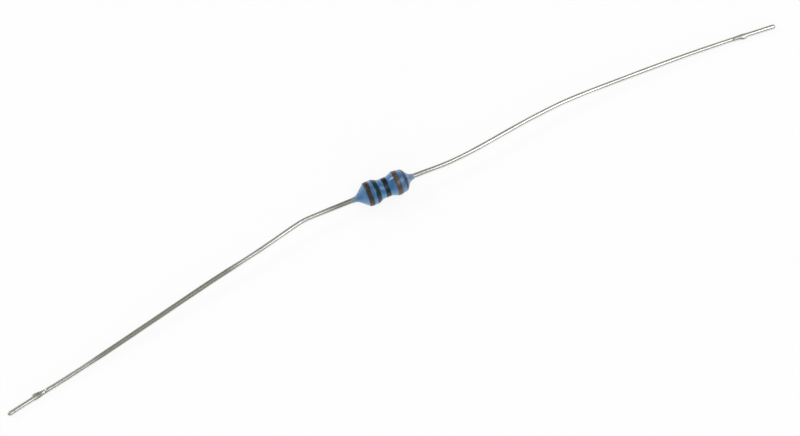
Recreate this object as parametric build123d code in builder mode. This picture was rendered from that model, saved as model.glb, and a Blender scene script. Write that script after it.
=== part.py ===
from build123d import *
import os

# A miniature quarter watt metal film resistor with its two bent, tinned leads.
# It lies on a table with its body along X. All sizes are in millimetres.
# The origin is the middle of its footprint, on the table.

os.makedirs("parts", exist_ok=True)

# Where the middle of the body stands over the origin
body_x = -0.266
body_y = 1.98

# Ceramic rod and the resistive film on it
core_d = 1.22
core_chamfer = 0.06
film_t = 0.03

# Helical cut that trims the film to its value
cut_w = 0.07
cut_depth = 0.09
cut_pitch = 0.33
cut_turns = 3

# Pressed steel end caps
cap_wall = 0.16
cap_length = 0.72
cap_corner = 0.14

# Tinned lead wires, butt welded to the caps
lead_d = 0.38
lead_r = lead_d / 2
weld_foot_d = 0.54
weld_foot_length = 0.07
tip_bevel = 0.10

# Tool nick on a lead, measured along the wire from the nick's place, towards the tip
nick_from_tip = 2.55
burr_start = -0.48
burr_peak = 0.08
burr_end = 0.32
burr_root = 0.14
burr_top = 0.275
burr_width = 0.24
dent_start = -0.28
dent_bottom = -0.04
dent_end = 0.12
dent_depth = 0.06

# Lacquer coat and the colour code painted on it
paint_t = 0.02
end_gap = 1.455

# Corners of the coat's outline and the rounding at each: place along the body, radius, rounding
coat_corners = [
    (-2.60, lead_r, 0),
    (-2.21, 0.200, 0.70),
    (-1.44, 0.882, 0.10),
    (-0.80, 0.934, 0.25),
    (-0.40, 0.718, 0.60),
    (0.34, 0.708, 0.30),
    (0.82, 0.922, 0.20),
    (1.545, 0.882, 0.12),
    (1.98, 0.270, 0.70),
    (2.33, lead_r, 0),
]

# Painted bands: name, where each starts and where it ends along the body
bands = [
    ("first_digit_band", -1.40, -1.085),
    ("second_digit_band", -0.825, -0.535),
    ("third_digit_band", -0.080, 0.265),
    ("multiplier_band", 0.785, 1.180),
    ("tolerance_band", 1.585, 1.755),
]

# Height of the body's axis, which rests on its painted rings
axis_z = 0.9472

# Routes of the leads beyond the caps: x and y from the middle of the body, height over the table,
# and the radius of the bend
left_route = [
    (-end_gap, 0, axis_z, 0),
    (-5.95, 0, axis_z, 8),
    (-14.20, -1.64, 0.71, 120),
    (-28.00, -4.51, lead_r, 20),
    (-31.52, -5.15, lead_r, 0),
]
right_route = [
    (end_gap, 0, axis_z, 0),
    (6.40, 0, axis_z, 30),
    (11.80, 0.80, 0.78, 40),
    (15.30, 1.20, 0.67, 25),
    (28.30, 0.95, lead_r, 12),
    (32.06, 0.63, lead_r, 0),
]

# Values worked out from the driving dimensions
film_r = core_d / 2 + film_t
cap_r = film_r + cap_wall
core_length = 2 * (end_gap - cap_wall)
mouth_x = end_gap - cap_length
widest_r = max(r for x, r, rounding in coat_corners) + 2 * paint_t
body_plane = Plane(origin=(body_x, body_y, axis_z), x_dir=(1, 0, 0), z_dir=(0, -1, 0))
body_axis = Axis((body_x, body_y, axis_z), (1, 0, 0))
left_to_right = Plane(origin=(body_x, body_y, axis_z), x_dir=(0, 1, 0), z_dir=(1, 0, 0))


def finish(piece, name):
    # Names the piece and writes it out
    piece.part.label = name
    export_step(piece.part, f"parts/{name}.step")


# Ceramic rod that carries the film
with BuildPart() as ceramic_core:
    with BuildSketch(left_to_right.offset(-core_length / 2)):
        Circle(core_d / 2)
    extrude(amount=core_length)
    chamfer(ceramic_core.edges().filter_by(GeomType.CIRCLE), length=core_chamfer)
finish(ceramic_core, "ceramic_core")


# Film sleeve with the helical cut between the caps
with BuildPart() as resistive_film:
    with BuildSketch(left_to_right.offset(-core_length / 2 + core_chamfer)):
        Circle(film_r)
        Circle(core_d / 2, mode=Mode.SUBTRACT)
    extrude(amount=core_length - 2 * core_chamfer)
    cut_length = cut_pitch * cut_turns
    with BuildLine() as spiral:
        Helix(
            pitch=cut_pitch,
            height=cut_length,
            radius=film_r,
            center=(body_x - cut_length / 2, body_y, axis_z),
            direction=(1, 0, 0),
        )
    with BuildSketch(Plane(origin=spiral.line @ 0, x_dir=(1, 0, 0), z_dir=spiral.line % 0)):
        Rectangle(cut_w, cut_depth)
    sweep(path=spiral.line, is_frenet=True, mode=Mode.SUBTRACT)
finish(resistive_film, "resistive_film")


def end_cap(side):
    # Deep drawn cup, closed towards the lead, side is -1 on the left and 1 on the right
    with BuildPart() as cap:
        with BuildSketch(body_plane):
            with BuildLine():
                Polyline(
                    (side * end_gap, 0),
                    (side * end_gap, cap_r),
                    (side * mouth_x, cap_r),
                    (side * mouth_x, film_r),
                    (side * core_length / 2, film_r),
                    (side * core_length / 2, 0),
                    close=True,
                )
            make_face()
        revolve(axis=body_axis)
        ends = cap.edges().filter_by(GeomType.CIRCLE).group_by(SortBy.RADIUS)[-1].sort_by(Axis.X)
        closed_end = ends[0] if side < 0 else ends[-1]
        chamfer(closed_end, length=cap_corner)
    return cap


left_end_cap = end_cap(-1)
right_end_cap = end_cap(1)
finish(left_end_cap, "left_end_cap")
finish(right_end_cap, "right_end_cap")


def lead_wire(route, nick_side):
    # Bent wire with a weld foot on the cap, a tool nick near its free end and a bevelled tip
    with BuildPart() as lead:
        with BuildLine() as path:
            FilletPolyline(
                [(x + body_x, y + body_y, z) for x, y, z, bend in route],
                radius=[bend for x, y, z, bend in route[1:-1]],
            )
        start = path.line @ 0
        out = path.line % 0
        tip = path.line @ 1
        end_way = path.line % 1
        with BuildSketch(Plane(origin=start, z_dir=out)):
            Circle(lead_r)
        sweep(path=path.line)
        tip_edge = lead.edges().filter_by(GeomType.CIRCLE).sort_by_distance(tip)[0]
        chamfer(tip_edge, length=tip_bevel)

        # Weld foot, a short cone against the cap
        with BuildSketch(body_plane):
            with BuildLine():
                away = 1 if out.X > 0 else -1
                foot_end = away * (end_gap + weld_foot_length)
                Polyline(
                    (away * end_gap, 0),
                    (away * end_gap, weld_foot_d / 2),
                    (foot_end, lead_r),
                    (foot_end, 0),
                    close=True,
                )
            make_face()
        revolve(axis=body_axis)

        # Tool nick: a burr raised on one side, steep towards the tip, and a dent on the other
        nick_place = tip - end_way * nick_from_tip
        nick_plane = Plane(origin=nick_place, x_dir=end_way, z_dir=(0, 0, 1))
        with BuildSketch(nick_plane):
            with BuildLine():
                Polyline(
                    (burr_start, 0),
                    (burr_start, nick_side * burr_root),
                    (burr_peak, nick_side * burr_top),
                    (burr_end, nick_side * burr_root),
                    (burr_end, 0),
                    close=True,
                )
            make_face()
        extrude(amount=burr_width / 2, both=True)
        with BuildSketch(nick_plane):
            with BuildLine():
                Polyline(
                    (dent_start, -nick_side * lead_d),
                    (dent_bottom, -nick_side * (lead_r - dent_depth)),
                    (dent_end, -nick_side * lead_d),
                    close=True,
                )
            make_face()
        extrude(amount=lead_d, both=True, mode=Mode.SUBTRACT)
    return lead


left_lead = lead_wire(left_route, -1)
right_lead = lead_wire(right_route, -1)
finish(left_lead, "left_lead")
finish(right_lead, "right_lead")


def dog_bone(skin):
    # Solid of the coat's outline, grown outwards by the thickness of a skin
    with BuildPart() as bone:
        with BuildSketch(body_plane):
            with BuildLine():
                outer = FilletPolyline(
                    [(x, r + skin) for x, r, rounding in coat_corners],
                    radius=[rounding for x, r, rounding in coat_corners[1:-1]],
                )
                Polyline(outer @ 1, (coat_corners[-1][0], 0), (coat_corners[0][0], 0), outer @ 0)
            make_face()
        revolve(axis=body_axis)
    return bone.part


bare_bone = dog_bone(0)
painted_bone = dog_bone(paint_t)


# Lacquer coat, drawn tight over the rod, the caps and the roots of the leads
with BuildPart() as lacquer_coat:
    add(bare_bone)
    with BuildSketch(left_to_right.offset(-core_length / 2)):
        Circle(film_r)
    extrude(amount=core_length, mode=Mode.SUBTRACT)
    for piece in (left_end_cap, right_end_cap, left_lead, right_lead):
        add(piece.part, mode=Mode.SUBTRACT)
finish(lacquer_coat, "lacquer_coat")


def painted_band(start, end):
    # Ring of paint that follows the coat under it
    with BuildPart() as band:
        with BuildSketch(left_to_right.offset(start)):
            Circle(widest_r)
        extrude(amount=end - start)
        add(painted_bone, mode=Mode.INTERSECT)
        add(bare_bone, mode=Mode.SUBTRACT)
    return band


for name, start, end in bands:
    finish(painted_band(start, end), name)
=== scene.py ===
import bpy
import numpy as np
from mathutils import Matrix, Vector


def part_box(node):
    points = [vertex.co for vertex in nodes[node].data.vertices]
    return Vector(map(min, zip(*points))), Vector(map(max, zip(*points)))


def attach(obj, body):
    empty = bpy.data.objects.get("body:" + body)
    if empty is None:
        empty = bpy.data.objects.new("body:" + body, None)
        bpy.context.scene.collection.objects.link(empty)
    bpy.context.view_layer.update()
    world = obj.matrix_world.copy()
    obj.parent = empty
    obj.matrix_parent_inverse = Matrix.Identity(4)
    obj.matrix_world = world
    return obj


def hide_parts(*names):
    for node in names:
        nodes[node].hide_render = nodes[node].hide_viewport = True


# A miniature axial resistor: blue lacquer over the caps and the waist, five painted rings
# and two bent leads
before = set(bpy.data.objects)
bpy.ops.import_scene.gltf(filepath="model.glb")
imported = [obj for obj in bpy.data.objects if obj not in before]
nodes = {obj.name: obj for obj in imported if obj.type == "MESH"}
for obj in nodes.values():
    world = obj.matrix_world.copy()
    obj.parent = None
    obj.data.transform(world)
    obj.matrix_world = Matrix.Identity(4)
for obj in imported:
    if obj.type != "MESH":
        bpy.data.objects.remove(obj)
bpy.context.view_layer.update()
print("frame loaded")

mm = 0.001


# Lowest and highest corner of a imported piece, in millimetres
def boxInMm(node):
    low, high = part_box(node)
    return np.array(low) / mm, np.array(high) / mm


# Middle of the body and the sizes inside it, in millimetres. The first four are read from the
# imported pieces, and the others, which no box shows, are those of the solids
coreLow, coreHigh = boxInMm("ceramic_core")
filmLow, filmHigh = boxInMm("resistive_film")
capLow, capHigh = boxInMm("left_end_cap")
bodyMiddle = (coreLow + coreHigh) / 2
inside = {
    "filmRadius": (filmHigh[2] - filmLow[2]) / 2,
    "capRadius": (capHigh[2] - capLow[2]) / 2,
    "capFace": bodyMiddle[0] - capLow[0],
    "capMouth": bodyMiddle[0] - capHigh[0],
    "capCorner": 0.14,
    "footRadius": 0.27,
    "footLength": 0.07,
    "leadRadius": 0.19,
}


# Value along a run of corners, each one softened: the first slope carried on, plus at every corner
# the change of slope times (t + sqrt(t * t + soft * soft)) / 2, where t is the way past the corner
def softLine(way, corners):
    places, values, soft = np.array(corners, float).T
    slopes = np.diff(values) / np.diff(places)
    past = way[..., None] - places[1:-1]
    ramps = (past + np.sqrt(past ** 2 + soft[1:-1] ** 2)) / 2
    return values[0] + slopes[0] * (way - places[0]) + (ramps * np.diff(slopes)).sum(axis=-1)


# Smooth step from 0 to 1 between two places: 3t squared minus 2t cubed
def ease(value, low, high):
    t = np.clip((value - low) / (high - low), 0, 1)
    return t * t * (3 - 2 * t)


# Bell: 1 in the middle, e to the minus t squared aside
def bell(value, middle, width):
    return np.exp(-(((value - middle) / width) ** 2))


# Mesh over a grid of points: columns run round and close, rows close too where loop is set,
# and otherwise a pole in the middle of the first and the last row closes each end
def gridPiece(name, points, loop, smooth=None):
    rows, columns = points.shape[:2]
    index = np.arange(rows * columns).reshape(rows, columns)
    below = index if loop else index[:-1]
    above = np.roll(index, -1, axis=0) if loop else index[1:]
    quads = [below, np.roll(below, -1, 1), np.roll(above, -1, 1), above]
    verts = points.reshape(-1, 3)
    faces = np.stack(quads, -1).reshape(-1, 4).tolist()
    if not loop:
        verts = np.vstack([verts, points[0].mean(axis=0), points[-1].mean(axis=0)])
        first = np.full(columns, rows * columns)
        faces += np.stack([first, np.roll(index[0], -1), index[0]], -1).tolist()
        faces += np.stack([first + 1, index[-1], np.roll(index[-1], -1)], -1).tolist()
    mesh = bpy.data.meshes.new(name)
    mesh.from_pydata((verts * mm).tolist(), [], faces)
    shade = np.ones(len(faces), bool) if smooth is None else np.repeat(smooth, columns)
    mesh.polygons.foreach_set("use_smooth", shade)
    mesh.update()
    piece = bpy.data.objects.new(name, mesh)
    bpy.context.scene.collection.objects.link(piece)
    return piece


# Puts one value or one vector on each point of a piece
def pointAttribute(piece, name, values):
    kind, field = ("FLOAT_VECTOR", "vector") if values.shape[-1:] == (3,) else ("FLOAT", "value")
    attribute = piece.data.attributes.new(name, kind, "POINT")
    attribute.data.foreach_set(field, values.astype(np.float32).ravel())


# Values of a grid as a list, with those of the two poles of an open piece added
def withPoles(grid):
    flat = grid.reshape(-1, *grid.shape[2:])
    return np.concatenate([flat, grid[0].mean(axis=0)[None], grid[-1].mean(axis=0)[None]])


def dress(piece, slot, material, *replaced):
    piece.data.materials.append(material)
    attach(piece, "root")
    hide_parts(*replaced)


# Screen colour of 0 to 255 turned into the linear colour that a shader takes
def screen(red, green, blue):
    value = np.array([red, green, blue]) / 255
    linear = np.where(value > 0.04045, ((value + 0.055) / 1.055) ** 2.4, value / 12.92)
    return (*linear.tolist(), 1.0)


# Shader node tools
def makeGroup(name, inputs, outputs):
    group = bpy.data.node_groups.new(name, "ShaderNodeTree")
    for label, kind, value in inputs:
        socket = group.interface.new_socket(name=label, in_out="INPUT", socket_type=kind)
        if value is not None:
            socket.default_value = value
    for label, kind in outputs:
        group.interface.new_socket(name=label, in_out="OUTPUT", socket_type=kind)
    return group, group.nodes.new("NodeGroupInput"), group.nodes.new("NodeGroupOutput")


def addNode(tree, kind, values=None, **settings):
    node = tree.nodes.new(kind)
    for key, value in settings.items():
        setattr(node, key, value)
    for key, value in (values or {}).items():
        node.inputs[key].default_value = value
    return node


def placeGroup(tree, group, values, vector):
    node = addNode(tree, "ShaderNodeGroup", node_tree=group)
    for key, value in values.items():
        node.inputs[key].default_value = value
    tree.links.new(vector, node.inputs["Vector"])
    return node


def newMaterial(name, values):
    material = bpy.data.materials.new(name)
    material.use_nodes = True
    shader = material.node_tree.nodes["Principled BSDF"]
    for key, value in values.items():
        shader.inputs[key].default_value = value
    return material, material.node_tree, shader


def mixColours(tree, mask, first, second):
    mix = addNode(tree, "ShaderNodeMix", data_type="RGBA")
    for socket, colour in ((mix.inputs[6], first), (mix.inputs[7], second)):
        if isinstance(colour, tuple):
            socket.default_value = colour
        else:
            tree.links.new(colour, socket)
    tree.links.new(mask, mix.inputs[0])
    return mix.outputs[2]


# Uneven patches of soft noise, cut to a mask between 0 and 1, and that mask as a value that runs
# from the lowest to the highest
patchEdges = {"From Min": 0.36, "From Max": 0.64}


def buildPatches(edges):
    group, given, result = makeGroup(
        "uneven patches",
        [
            ("Vector", "NodeSocketVector", None),
            ("Scale", "NodeSocketFloat", 1000.0),
            ("Detail", "NodeSocketFloat", 3.0),
            ("Lowest", "NodeSocketFloat", 0.0),
            ("Highest", "NodeSocketFloat", 1.0),
        ],
        [("Mask", "NodeSocketFloat"), ("Value", "NodeSocketFloat")],
    )
    noise = addNode(group, "ShaderNodeTexNoise")
    mask = addNode(group, "ShaderNodeMapRange", edges, interpolation_type="SMOOTHSTEP")
    value = addNode(group, "ShaderNodeMapRange")
    links = group.links
    for label in ("Vector", "Scale", "Detail"):
        links.new(given.outputs[label], noise.inputs[label])
    links.new(noise.outputs["Fac"], mask.inputs["Value"])
    links.new(mask.outputs["Result"], value.inputs["Value"])
    links.new(given.outputs["Lowest"], value.inputs["To Min"])
    links.new(given.outputs["Highest"], value.inputs["To Max"])
    links.new(mask.outputs["Result"], result.inputs["Mask"])
    links.new(value.outputs["Result"], result.inputs["Value"])
    return group


# Low waves of a skin that flowed before it set, as a normal
flowDetail = 1.5


def buildFlow(detail):
    group, given, result = makeGroup(
        "flow waves",
        [
            ("Vector", "NodeSocketVector", None),
            ("Scale", "NodeSocketFloat", 1000.0),
            ("Strength", "NodeSocketFloat", 0.1),
            ("Depth", "NodeSocketFloat", 0.00001),
        ],
        [("Normal", "NodeSocketVector")],
    )
    noise = addNode(group, "ShaderNodeTexNoise", {"Detail": detail})
    bump = addNode(group, "ShaderNodeBump")
    links = group.links
    links.new(given.outputs["Vector"], noise.inputs["Vector"])
    links.new(given.outputs["Scale"], noise.inputs["Scale"])
    links.new(noise.outputs["Fac"], bump.inputs["Height"])
    links.new(given.outputs["Strength"], bump.inputs["Strength"])
    links.new(given.outputs["Depth"], bump.inputs["Distance"])
    links.new(bump.outputs["Normal"], result.inputs["Normal"])
    return group


patches = buildPatches(patchEdges)
flow = buildFlow(flowDetail)
print("shared shader groups built")


# Gives a shader the waves of a finish, and hands back its patches, whose mask mixes the tones
# and whose value is the roughness
def addSkin(tree, shader, finish, vector):
    lowest, highest = finish["roughness"]
    tone = placeGroup(
        tree,
        patches,
        {
            "Scale": finish["patchScale"],
            "Detail": finish["patchDetail"],
            "Lowest": lowest,
            "Highest": highest,
        },
        vector,
    )
    waves = placeGroup(
        tree,
        flow,
        {
            "Scale": finish["waveScale"],
            "Strength": finish["waveStrength"],
            "Depth": finish["waveDepth"],
        },
        vector,
    )
    tree.links.new(waves.outputs["Normal"], shader.inputs["Normal"])
    return tone


# Blue lacquer in two tones, coloured paler on the thin necks over the leads, as if the metal
# showed through, and with a painted reflection of the white room, a pale blue, on faces seen at a
# slant. A neck's pale colour fades out between its two places, in millimetres from the body's
# middle
lacquerFinish = {
    "deep": screen(48, 98, 144),
    "light": screen(62, 112, 157),
    "necks": [
        ((-2.50, -2.02), screen(122, 138, 140)),
        ((2.26, 1.66), screen(122, 141, 166)),
    ],
    # Painted reflection: the pale blue that faces seen at a slant are mixed towards, and the slant
    # over which it grows
    "paintedReflection": screen(154, 186, 220),
    "paintedReflectionSpan": {"From Min": 0.08, "From Max": 0.55, "To Max": 0.42},
    "ior": 1.52,
    "roughness": (0.16, 0.24),
    "patchScale": 1700.0,
    "patchDetail": 3.0,
    "waveScale": 1400.0,
    "waveStrength": 0.15,
    "waveDepth": 0.000005,
}


def buildLacquer(finish):
    material, tree, shader = newMaterial("blue lacquer", {"IOR": finish["ior"]})
    place = addNode(tree, "ShaderNodeTexCoord").outputs["Object"]
    tone = addSkin(tree, shader, finish, place)
    blue = mixColours(tree, tone.outputs["Mask"], finish["deep"], finish["light"])
    split = addNode(tree, "ShaderNodeSeparateXYZ")
    tree.links.new(place, split.inputs[0])
    for (start, end), pale in finish["necks"]:
        span = {
            "From Min": (bodyMiddle[0] + start) * mm,
            "From Max": (bodyMiddle[0] + end) * mm,
            "To Min": 1.0,
            "To Max": 0.0,
        }
        thin = addNode(tree, "ShaderNodeMapRange", span, interpolation_type="SMOOTHSTEP")
        tree.links.new(split.outputs["X"], thin.inputs["Value"])
        blue = mixColours(tree, thin.outputs["Result"], blue, pale)
    # Painted reflection: faces seen at a slant are mixed towards pale blue, as if they mirrored
    # the white room
    paintedReflection = addNode(tree, "ShaderNodeMapRange", finish["paintedReflectionSpan"])
    tree.links.new(addNode(tree, "ShaderNodeLayerWeight").outputs["Facing"], paintedReflection.inputs["Value"])
    blue = mixColours(tree, paintedReflection.outputs["Result"], blue, finish["paintedReflection"])
    tree.links.new(blue, shader.inputs["Base Color"])
    tree.links.new(tone.outputs["Value"], shader.inputs["Roughness"])
    return material


# Ring paint, in two tones, and bluer towards its edges, as if the lacquer showed through
paintFinish = {
    "tones": {
        "dark brown paint": (screen(48, 43, 38), screen(61, 54, 47)),
        "brown paint": (screen(76, 59, 51), screen(90, 73, 63)),
        "dark green paint": (screen(14, 48, 46), screen(24, 42, 56)),
        "black paint": (screen(12, 26, 32), screen(20, 34, 44)),
        # The tolerance ring's brown, painted darker and bluer as painted shade on the sloping
        # shoulder
        "brown paint with painted shade": (screen(36, 46, 56), screen(52, 54, 62)),
    },
    "edgeLacquer": screen(44, 76, 108),
    "ior": 1.48,
    "roughness": (0.18, 0.28),
    "patchScale": 2400.0,
    "patchDetail": 3.0,
    "waveScale": 4200.0,
    "waveStrength": 0.3,
    "waveDepth": 0.000008,
}


def buildPaint(name, finish):
    material, tree, shader = newMaterial(name, {"IOR": finish["ior"]})
    place = addNode(tree, "ShaderNodeTexCoord").outputs["Object"]
    tone = addSkin(tree, shader, finish, place)
    paint = mixColours(tree, tone.outputs["Mask"], *finish["tones"][name])
    edge = addNode(tree, "ShaderNodeAttribute", attribute_name="edge")
    paint = mixColours(tree, edge.outputs["Fac"], paint, finish["edgeLacquer"])
    tree.links.new(paint, shader.inputs["Base Color"])
    tree.links.new(tone.outputs["Value"], shader.inputs["Roughness"])
    return material


# Tinned wire, with streaks drawn along it, and darker, olive and rougher where it is tarnished,
# less so on its front side, which is painted brighter as a painted sheen
wireFinish = {
    "bright": screen(246, 245, 240),
    "streak": screen(222, 220, 212),
    "tarnish": screen(156, 155, 145),
    "tarnishRoughness": 0.22,
    "streakStretch": (0.12, 6.0, 6.0),
    "roughness": (0.26, 0.36),
    "patchScale": 1.6,
    "patchDetail": 4.0,
    "waveScale": 1.6,
    "waveStrength": 0.12,
    "waveDepth": 0.000003,
}


def buildWire(finish):
    material, tree, shader = newMaterial("tinned wire", {"Metallic": 1.0})
    lay = addNode(tree, "ShaderNodeAttribute", attribute_name="lay")
    stretch = addNode(tree, "ShaderNodeMapping", {"Scale": finish["streakStretch"]})
    tree.links.new(lay.outputs["Vector"], stretch.inputs["Vector"])
    streaks = addSkin(tree, shader, finish, stretch.outputs[0])
    tarnish = addNode(tree, "ShaderNodeAttribute", attribute_name="tarnish")
    metal = mixColours(tree, streaks.outputs["Mask"], finish["bright"], finish["streak"])
    metal = mixColours(tree, tarnish.outputs["Fac"], metal, finish["tarnish"])
    rougher = {1: finish["tarnishRoughness"]}
    dull = addNode(tree, "ShaderNodeMath", rougher, operation="MULTIPLY_ADD")
    tree.links.new(tarnish.outputs["Fac"], dull.inputs[0])
    tree.links.new(streaks.outputs["Value"], dull.inputs[2])
    tree.links.new(metal, shader.inputs["Base Color"])
    tree.links.new(dull.outputs[0], shader.inputs["Roughness"])
    return material


# Inner pieces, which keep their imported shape: two tones, metal or not, roughness, and the scales
# of the patches and of the waves
innerWaves = {"patchDetail": 3.0, "waveStrength": 0.3, "waveDepth": 0.000005}
innerFinish = {
    "white ceramic": {
        "nodes": ["ceramic_core"],
        "tones": (screen(238, 234, 222), screen(226, 220, 206)),
        "metallic": 0.0,
        "roughness": (0.55, 0.75),
        "patchScale": 1500.0,
        "waveScale": 4500.0,
    },
    "metal film": {
        "nodes": ["resistive_film"],
        "tones": (screen(120, 116, 112), screen(98, 95, 92)),
        "metallic": 1.0,
        "roughness": (0.3, 0.45),
        "patchScale": 2500.0,
        "waveScale": 7500.0,
    },
    "tinned cap": {
        "nodes": ["left_end_cap", "right_end_cap"],
        "tones": (screen(212, 208, 200), screen(188, 184, 176)),
        "metallic": 1.0,
        "roughness": (0.25, 0.4),
        "patchScale": 2000.0,
        "waveScale": 6000.0,
    },
}


def buildInner(name, finish):
    material, tree, shader = newMaterial(name, {"Metallic": finish["metallic"]})
    place = addNode(tree, "ShaderNodeTexCoord").outputs["Object"]
    tone = addSkin(tree, shader, {**innerWaves, **finish}, place)
    colour = mixColours(tree, tone.outputs["Mask"], *finish["tones"])
    tree.links.new(colour, shader.inputs["Base Color"])
    tree.links.new(tone.outputs["Value"], shader.inputs["Roughness"])
    return material


lacquer = buildLacquer(lacquerFinish)
paints = {name: buildPaint(name, paintFinish) for name in paintFinish["tones"]}
tinnedWire = buildWire(wireFinish)
for name, finish in innerFinish.items():
    material = buildInner(name, finish)
    for node in finish["nodes"]:
        nodes[node].data.materials.clear()
        nodes[node].data.materials.append(material)
print("materials built")


# Lacquer: the corners of its outline, as place along the body, radius and softness, how far its
# bores sink into the leads, how uneven it is, and the number of points along and round it. Each
# ripple has its height, its waves round the body, its twist along the body and its start
coatShape = {
    "corners": [
        (-2.60, 0.190, 0),
        (-2.204, 0.194, 0.136),
        (-1.405, 0.903, 0.055),
        (-0.792, 0.936, 0.075),
        (-0.40, 0.716, 0.188),
        (0.348, 0.706, 0.153),
        (0.828, 0.926, 0.06),
        (1.57, 0.883, 0.126),
        (1.957, 0.275, 0.139),
        (2.33, 0.190, 0),
    ],
    "sink": 0.004,
    "unevenness": 0.004,
    "ripples": [(1.0, 2, 1.1, 0.0), (0.6, 3, -1.9, 1.0), (0.5, 1, 2.7, 2.0)],
    "along": 420,
    "round": 144,
}


# Radius of the lacquer at a place and an angle: the soft outline, made a little out of round
# by the ripples, each a sine of the angle and the place that winds round the body
def coatRadius(x, angle):
    ripple = sum(
        height * np.sin(waves * angle + twist * x + start)
        for height, waves, twist, start in coatShape["ripples"]
    )
    return softLine(x, coatShape["corners"]) * (1 + coatShape["unevenness"] * ripple)


# Points of a turned surface about the body's axis: place along it, angle from straight up, radius
def aroundBody(x, angle, radius):
    return np.stack([x, radius * np.sin(angle), radius * np.cos(angle)], -1) + bodyMiddle


# Evenly spaced angles of one turn, as a row
def oneTurn(count):
    return np.linspace(0, 2 * np.pi, count, endpoint=False)[None, :]


# Closed shell: the outer skin from neck to neck, then the inner walls on the leads, caps and film
def buildCoat(shape):
    angle = oneTurn(shape["round"])
    leftEnd, rightEnd = shape["corners"][0][0], shape["corners"][-1][0]
    x = np.linspace(leftEnd, rightEnd, shape["along"])[:, None]
    radius = coatRadius(x, angle)
    skin = aroundBody(np.broadcast_to(x, radius.shape), angle, radius)
    bore = inside["leadRadius"] - shape["sink"]
    half = [
        (rightEnd, bore),
        (inside["capFace"] + inside["footLength"], bore),
        (inside["capFace"], inside["footRadius"]),
        (inside["capFace"], inside["capRadius"] - inside["capCorner"]),
        (inside["capFace"] - inside["capCorner"], inside["capRadius"]),
        (inside["capMouth"], inside["capRadius"]),
        (inside["capMouth"], inside["filmRadius"]),
    ]
    mirrored = [(-place, size) for place, size in half[1:][::-1]]
    wall = np.array(half + mirrored + [(leftEnd, bore)])
    lining = aroundBody(*np.broadcast_arrays(wall[:, :1], angle, wall[:, 1:]))
    smooth = np.arange(len(x) + len(wall)) < len(x) - 1
    return gridPiece("blue_coat", np.concatenate([skin, lining]), True, smooth)


dress(buildCoat(coatShape), "blue_lacquer", lacquer, "lacquer_coat")


# Painted rings: node, start and end along the body, wander of the edges, slot and paint. The
# waves of an edge each have a height, a number round the body and how many times they take the
# ring's own phase. A ring is sunk into the lacquer by a share of its thickness
ringShape = {
    "thickness": 0.018,
    "sunk": 0.25,
    "squareness": 10,
    "edgeFade": 14,
    "across": 40,
    "phaseStep": 1.7,
    "startWaves": [(1.0, 3, 1), (0.5, 8, 2)],
    "endWaves": [(1.0, 4, 2), (0.5, 7, 1)],
    "rings": [
        ("first_digit_band", -1.475, -1.085, 0.012, "brown_paint", "dark brown paint"),
        ("second_digit_band", -0.825, -0.465, 0.014, "dark_green_paint", "dark green paint"),
        ("third_digit_band", -0.080, 0.285, 0.012, "black_paint", "black paint"),
        ("multiplier_band", 0.785, 1.180, 0.014, "brown_paint", "brown paint"),
        # The tolerance ring is brown like the multiplier ring; its paint is darkened as painted
        # shade
        ("tolerance_band", 1.52, 1.755, 0.010, "brown_paint", "brown paint with painted shade"),
    ],
}


# Edge of a ring: its place plus the wander times the mean of its waves, weighted by their heights
def wavyEdge(place, wander, angle, phase, waves):
    total = sum(height * np.sin(number * angle + times * phase) for height, number, times in waves)
    return place + wander * total / sum(height for height, number, times in waves)


# Closed ring that follows the lacquer: its outer face stands 1 - |2s - 1| to a high power of the
# thickness over the lacquer, where s runs across the ring, and its edges wander with the angle
def buildRing(name, start, end, wander, phase, shape):
    angle = oneTurn(coatShape["round"])
    across = (1 - np.cos(np.linspace(0, np.pi, shape["across"])))[:, None] / 2
    left = wavyEdge(start, wander, angle, phase, shape["startWaves"])
    right = wavyEdge(end, wander, angle, phase, shape["endWaves"])
    lift = shape["thickness"] * (1 - np.abs(2 * across - 1) ** shape["squareness"])
    x = left + (right - left) * across
    radius = coatRadius(x, angle)
    outer = aroundBody(x, angle, radius + lift)
    inner = aroundBody(x, angle, radius - shape["thickness"] * shape["sunk"])[::-1]
    piece = gridPiece(name, np.concatenate([outer, inner]), True)
    edge = np.broadcast_to(np.abs(2 * across - 1) ** shape["edgeFade"], x.shape)
    pointAttribute(piece, "edge", np.concatenate([edge, edge[::-1]]).ravel())
    return piece


for number, (node, start, end, wander, slot, paint) in enumerate(ringShape["rings"]):
    phase = ringShape["phaseStep"] * number
    ring = buildRing(node + "_ring", start, end, wander, phase, ringShape)
    dress(ring, slot, paints[paint], node)
print("lacquer and painted rings built")


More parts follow.
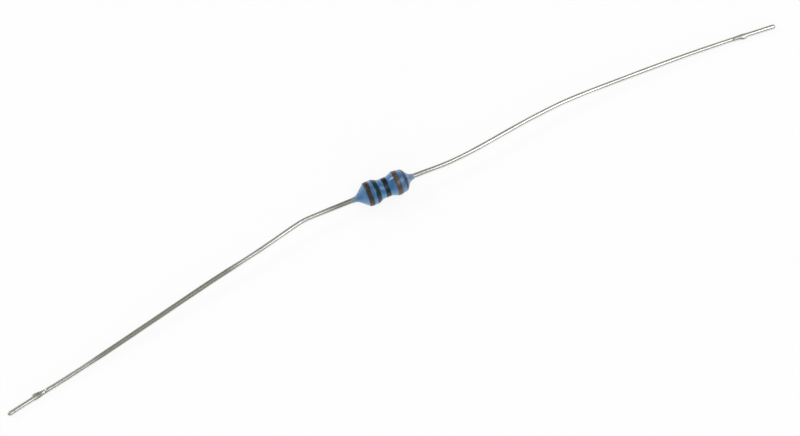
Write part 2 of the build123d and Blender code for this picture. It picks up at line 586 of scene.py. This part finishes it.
# Leads, in millimetres. The corners of a line are way out from the body's middle, y, height and
# softness. Tarnish spans are start, end and amount along the wire. The nick's steep side faces
# the tip, and the places of the dent and the scuff are measured from the nick towards the body
axisHeight = bodyMiddle[2]
leadShape = {
    "radius": inside["leadRadius"],
    "step": 0.03,
    "round": 40,
    "samples": 4000,
    "tipRings": 14,
    "burrSpread": 0.65,
    "backRise": 0.3,
    "dentPlace": 0.85,
    "dentSlant": 0.10,
    "dentDepth": 0.035,
    "dentLength": 0.09,
    "scuffPlace": 0.38,
    "scuffLength": 0.32,
    "handling": 0.0025,
    "handPaces": (2.3, 0.9),
    "tarnishFade": 1,
    # Painted sheen: the share of tarnish taken off the side of the wire that faces the front, and
    # the span of that facing
    "frontSheenShare": 0.7,
    "frontSheenSpan": (0.8, 0.97),
}
leads = {
    "left": {
        "side": -1,
        "corners": [
            (1.455, 0, axisHeight, 0),
            (6.55, 0, axisHeight, 0.5),
            (10.20, -0.865, 0.818, 0.9),
            (14.20, -1.61, 0.71, 1.5),
            (24.20, -3.775, 0.335, 1.5),
            (27.60, -4.41, 0.20, 0.4),
            (28.90, -4.615, 0.19, 0.3),
            (31.68, -5.17, 0.19, 0),
        ],
        "nick": {"fromTip": 2.30, "rise": 0.115, "gentle": 0.75, "steep": 0.20, "scuff": 0.9},
        "tarnish": [(0.5, 2.9, 0.9), (11.0, 23.5, 0.85)],
    },
    "right": {
        "side": 1,
        "corners": [
            (1.455, 0, axisHeight, 0),
            (3.00, -0.01, axisHeight, 0.4),
            (4.90, -0.09, axisHeight, 0.8),
            (7.20, 0.10, 0.91, 1.0),
            (11.80, 0.82, 0.78, 1.0),
            (14.60, 1.15, 0.69, 1.2),
            (17.00, 1.19, 0.61, 1.2),
            (24.00, 1.125, 0.35, 1.5),
            (28.30, 0.95, 0.19, 0.6),
            (32.14, 0.66, 0.19, 0),
        ],
        "nick": {"fromTip": 2.57, "rise": 0.09, "gentle": 0.45, "steep": 0.32, "scuff": 0.4},
        "tarnish": [(0.5, 1.8, 0.5)],
    },
}


# Soft centre line of a lead, as points evenly parted along X, and the length of wire up to each
def leadLine(lead, samples):
    table = np.array(lead["corners"], float)
    way = np.linspace(table[0, 0], table[-1, 0], samples)
    y = softLine(way, table[:, [0, 1, 3]])
    z = softLine(way, table[:, [0, 2, 3]])
    line = np.stack([lead["side"] * way, y, z], -1) + bodyMiddle * (1, 1, 0)
    steps = np.linalg.norm(np.diff(line, axis=0), axis=1)
    return line, np.concatenate([[0], np.cumsum(steps)])


# What the nick adds to the radius: a burr on one side, e to the cosine of the turn away from it,
# and a lower one on the other side, less a bell that runs aslant across the top as the dent
def nickRelief(past, angle, nick, shape):
    along = ease(past, -nick["steep"], 0) * (1 - ease(past, 0, nick["gentle"]))
    near, far = [
        np.exp((facing * np.cos(angle) - 1) / shape["burrSpread"] ** 2 * 2) for facing in (1, -1)
    ]
    burr = nick["rise"] * along * (near + shape["backRise"] * far)
    dentPlace = shape["dentPlace"] + shape["dentSlant"] * np.cos(angle)
    dent = bell(past, dentPlace, shape["dentLength"]) * np.clip(np.sin(angle), 0, 1)
    return burr - shape["dentDepth"] * dent


# Tube round a soft line: centre plus radius times (cos a * side + sin a * up). The radius falls
# to a round tip, a quarter circle, carries the relief of the nick, and waves a little with the
# length and the angle, as handling leaves it
def buildLead(name, lead, shape):
    nick = lead["nick"]
    line, length = leadLine(lead, shape["samples"])
    end = length[-1]
    radius = shape["radius"]
    evenly = np.arange(0, end - radius, shape["step"])
    quarter = np.linspace(0, np.pi / 2, shape["tipRings"])[:-1]
    s = np.concatenate([evenly, end - radius * (1 - np.sin(quarter))])
    centre = np.stack([np.interp(s, length, line[:, k]) for k in range(3)], -1)
    ahead = np.gradient(centre, s, axis=0)
    ahead /= np.linalg.norm(ahead, axis=1, keepdims=True)
    aside = np.cross(ahead, [0, 0, 1])
    aside /= np.linalg.norm(aside, axis=1, keepdims=True)
    upward = np.cross(aside, ahead)
    angle = oneTurn(shape["round"])
    toTip = (end - s)[:, None]
    tip = np.sqrt(np.clip(1 - np.clip((radius - toTip) / radius, 0, 1) ** 2, 0, 1))
    past = toTip - nick["fromTip"]
    slow, slower = shape["handPaces"]
    hand = np.sin(slow * s)[:, None] * np.cos(2 * angle)
    hand = hand + np.sin(slower * s + 1)[:, None] * np.sin(3 * angle)
    grown = radius + nickRelief(past, angle, nick, shape) + shape["handling"] * hand
    size = tip * grown
    across = np.cos(angle)[..., None] * aside[:, None] + np.sin(angle)[..., None] * upward[:, None]
    piece = gridPiece(name, centre[:, None] + size[..., None] * across, False)
    flat = (s[:, None], radius * np.cos(angle), radius * np.sin(angle))
    pointAttribute(piece, "lay", withPoles(np.stack(np.broadcast_arrays(*flat), -1)))
    fade = shape["tarnishFade"]
    dull = nick["scuff"] * bell(past[:, 0], shape["scuffPlace"], shape["scuffLength"])
    for start, stop, amount in lead["tarnish"]:
        inSpan = ease(s, start - fade, start + fade) * (1 - ease(s, stop - fade, stop + fade))
        dull = np.maximum(dull, amount * inSpan)
    # Painted sheen: the tarnish is lowered on the side facing the front, so that side is painted
    # brighter, as a reflection there
    front = ease(-across[..., 1], *shape["frontSheenSpan"])
    tarnishAndFrontSheen = dull[:, None] * (1 - shape["frontSheenShare"] * front)
    pointAttribute(piece, "tarnish", withPoles(tarnishAndFrontSheen))
    return piece


for name, lead in leads.items():
    wire = buildLead(name + "_wire", lead, leadShape)
    dress(wire, "tinned_wire", tinnedWire, name + "_lead")
print("leads built")


# Camera: where the photo was taken from, in millimetres and degrees
cameraView = {
    "elevation": 70.0,
    "turn": 23.136,
    "distance": 260.0,
    "aim": (-0.0240, -0.3925, 0.1880),
    "lens": 159.18,
    "sensor": 36,
    "nearClip": 10.0,
}


def placeCamera(view):
    elevation, turn = np.radians([view["elevation"], view["turn"]])
    level = np.cos(elevation)
    ahead = Vector((np.sin(turn) * level, np.cos(turn) * level, -np.sin(elevation)))
    right = Vector((np.cos(turn), -np.sin(turn), 0))
    up = right.cross(ahead)
    data = bpy.data.cameras.new("camera")
    data.lens = view["lens"]
    data.sensor_width = view["sensor"]
    data.clip_start = view["nearClip"] * mm
    camera = bpy.data.objects.new("camera", data)
    bpy.context.scene.collection.objects.link(camera)
    turned = Matrix((right, up, -ahead)).transposed().to_4x4()
    place = (Vector(view["aim"]) - ahead * view["distance"]) * mm
    camera.matrix_world = Matrix.Translation(place) @ turned
    bpy.context.scene.camera = camera


placeCamera(cameraView)


# Floor: a pale table that keeps the object's soft shadow. The lift is the share of plain white
# in what the camera and reflections see of it, and the gap keeps it just under the object
floorFinish = {
    "size": 3.0,
    "paint": (0.95, 0.95, 0.95, 1.0),
    "roughness": 0.9,
    "lift": 0.86,
    "gap": 0.00001,
}


def buildFloor(finish):
    half = finish["size"] / 2
    mesh = bpy.data.meshes.new("floor")
    corners = [(-half, -half), (half, -half), (half, half), (-half, half)]
    mesh.from_pydata([(x, y, -finish["gap"]) for x, y in corners], [], [(0, 1, 2, 3)])
    floor = bpy.data.objects.new("floor", mesh)
    bpy.context.scene.collection.objects.link(floor)
    plain = {"Base Color": finish["paint"], "Roughness": finish["roughness"]}
    plain["Specular IOR Level"] = 0.0
    material, tree, shader = newMaterial("white table", plain)
    path = addNode(tree, "ShaderNodeLightPath")
    seen = addNode(tree, "ShaderNodeMath", operation="MAXIMUM")
    amount = addNode(tree, "ShaderNodeMath", {1: finish["lift"]}, operation="MULTIPLY")
    glow = addNode(tree, "ShaderNodeEmission")
    mix = addNode(tree, "ShaderNodeMixShader")
    links = tree.links
    links.new(path.outputs["Is Camera Ray"], seen.inputs[0])
    links.new(path.outputs["Is Glossy Ray"], seen.inputs[1])
    links.new(seen.outputs[0], amount.inputs[0])
    links.new(amount.outputs[0], mix.inputs["Fac"])
    links.new(shader.outputs[0], mix.inputs[1])
    links.new(glow.outputs[0], mix.inputs[2])
    links.new(mix.outputs[0], tree.nodes["Material Output"].inputs["Surface"])
    mesh.materials.append(material)


buildFloor(floorFinish)


# Lamps: size, where they stand and aim, how bright their face is, and whether reflections show it
middle = (0.0, 0.0, 0.0)
lampShapes = {
    "farLeft": {
        "size": (0.24, 0.24),
        "place": (-0.44, 0.50, 0.45),
        "aim": middle,
        "bright": 8.0,
        "mirrored": True,
    },
    "above": {
        "size": (0.26, 0.50),
        "place": (0.25, -0.32, 0.74),
        "aim": (0.25, 0.0, 0.0),
        "bright": 2.1,
        "mirrored": True,
    },
    "right": {
        "size": (0.48, 0.36),
        "place": (0.376, -0.08, 0.70),
        "aim": middle,
        "bright": 2.1,
        "mirrored": True,
    },
    "front": {
        "size": (1.6, 0.5),
        "place": (-0.4, -0.68, 0.28),
        "aim": middle,
        "bright": 1.0,
        "mirrored": False,
    },
}


def buildLamp(name, shape):
    data = bpy.data.lights.new(name, "AREA")
    data.shape = "RECTANGLE"
    data.size, data.size_y = shape["size"]
    data.energy = shape["bright"] * np.pi * data.size * data.size_y
    lamp = bpy.data.objects.new(name, data)
    place = Vector(shape["place"])
    lamp.location = place
    lamp.rotation_euler = (place - Vector(shape["aim"])).to_track_quat("Z", "Y").to_euler()
    lamp.visible_camera = False
    lamp.visible_glossy = shape["mirrored"]
    bpy.context.scene.collection.objects.link(lamp)


for name, shape in lampShapes.items():
    buildLamp(name, shape)


# Room: how strongly it lights the scene, how bright reflections show it, and white to the camera
worldLevel = {"lit": 0.53, "mirrored": 0.24}
white = (1, 1, 1, 1)


def buildWorld(level):
    world = bpy.data.worlds.new("studio")
    world.use_nodes = True
    bpy.context.scene.world = world
    tree = world.node_tree
    room = tree.nodes["Background"]
    room.inputs["Color"].default_value = white
    path = addNode(tree, "ShaderNodeLightPath")
    levels = {2: level["lit"], 3: level["mirrored"]}
    strength = addNode(tree, "ShaderNodeMix", levels, data_type="FLOAT")
    tree.links.new(path.outputs["Is Glossy Ray"], strength.inputs[0])
    tree.links.new(strength.outputs[0], room.inputs["Strength"])
    backdrop = addNode(tree, "ShaderNodeBackground", {"Color": white, "Strength": 1.0})
    mix = addNode(tree, "ShaderNodeMixShader")
    tree.links.new(path.outputs["Is Camera Ray"], mix.inputs["Fac"])
    tree.links.new(room.outputs[0], mix.inputs[1])
    tree.links.new(backdrop.outputs[0], mix.inputs[2])
    tree.links.new(mix.outputs[0], tree.nodes["World Output"].inputs["Surface"])


buildWorld(worldLevel)
bpy.context.scene.view_settings.view_transform = "Standard"
print("camera, floor and lamps placed")
